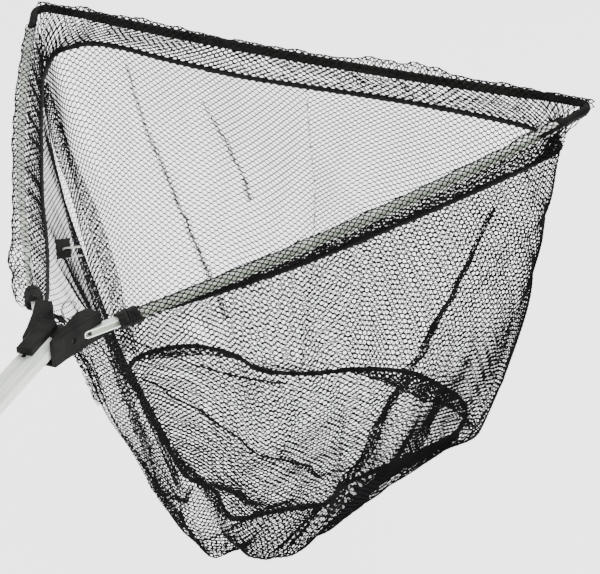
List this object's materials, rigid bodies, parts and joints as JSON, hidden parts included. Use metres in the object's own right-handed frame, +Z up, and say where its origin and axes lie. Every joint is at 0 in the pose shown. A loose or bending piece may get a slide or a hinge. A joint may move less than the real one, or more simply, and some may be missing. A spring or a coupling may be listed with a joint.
{
  "type": "folding landing net",
  "caption": "Triangular landing net: bowed channel arms pivot in a folding yoke on a telescopic octagonal handle, with a taut front cord and a deep mesh bag.",
  "frame": {"origin": "centre of the flat butt face at the rear end of the handle", "axes": "+Y along the handle towards the front bar of the net, +X towards the right arm, +Z up with the bag hanging towards -Z"},
  "size_m": [0.6078, 1.3664, 0.4033],
  "materials": {
    "aluminium": "pale anodised satin",
    "black_plastic": "fine moulded texture",
    "foam_grip": "closed-cell foam",
    "rubber_tip": "soft satin",
    "black_tape": "woven tape",
    "black_netting": "knotless mesh",
    "steel": "plain wire and pins"
  },
  "bodies": {
    "handle": {"handle_tube_outer": "aluminium", "grip": "foam_grip", "end_cap": "black_plastic", "tube_collar": "black_plastic"},
    "nut": {"lock_nut": "black_plastic"},
    "inner_handle": {"handle_tube_inner": "aluminium", "inner_bush": "black_plastic", "handle_nose": "black_plastic"},
    "latch": {"latch_slider": "black_plastic"},
    "head": {"yoke": "black_plastic", "fold_pin": "steel", "arm_pin_left": "steel", "arm_pin_right": "steel", "front_cord": "black_tape", "rim_tape_front": "black_tape", "net_sleeve_front": "black_netting", "base_tape": "black_tape", "net_wall_front": "black_netting", "net_wall_left": "black_netting", "net_wall_right": "black_netting", "net_base": "black_netting", "net_tie_ring": "steel"},
    "right_arm": {"arm_right": "aluminium", "arm_tip_right": "rubber_tip", "net_sleeve_right": "black_netting", "rim_tape_right": "black_tape", "sleeve_binding_right": "black_tape"},
    "left_arm": {"arm_left": "aluminium", "arm_tip_left": "rubber_tip", "net_sleeve_left": "black_netting", "rim_tape_left": "black_tape", "sleeve_binding_left": "black_tape", "tape_buckle": "black_plastic", "tape_buckle_pin": "steel"}
  },
  "joints": [
    {"name": "nut_turn", "type": "hinge", "parent": "handle", "child": "nut", "pos_m": [0, 0.58, 0], "axis": [0, 1, 0], "range_deg": [0, 120]},
    {"name": "handle_extend", "type": "slide", "parent": "handle", "child": "inner_handle", "axis": [0, 1, 0], "range_m": [0, 0.38]},
    {"name": "latch_slide", "type": "slide", "parent": "inner_handle", "child": "latch", "axis": [0, -1, 0], "range_m": [0, 0.0125]},
    {"name": "head_fold", "type": "hinge", "parent": "inner_handle", "child": "head", "pos_m": [0, 0.826, 0], "axis": [1, 0, 0], "range_deg": [0, 150]},
    {"name": "right_arm_fold", "type": "hinge", "parent": "head", "child": "right_arm", "pos_m": [0.0265, 0.848, 0], "axis": [0, 0, 1], "range_deg": [0, 24], "deforming": ["front_cord", "rim_tape_front", "net_sleeve_front", "base_tape", "net_wall_front", "net_wall_left", "net_wall_right", "net_base", "net_tie_ring"]},
    {"name": "left_arm_fold", "type": "hinge", "parent": "head", "child": "left_arm", "pos_m": [-0.0265, 0.848, 0], "axis": [0, 0, 1], "range_deg": [-24, 0]}
  ],
  "couplings": [
    {"joint": "left_arm_fold", "follows": "right_arm_fold", "ratio": -1}
  ]
}
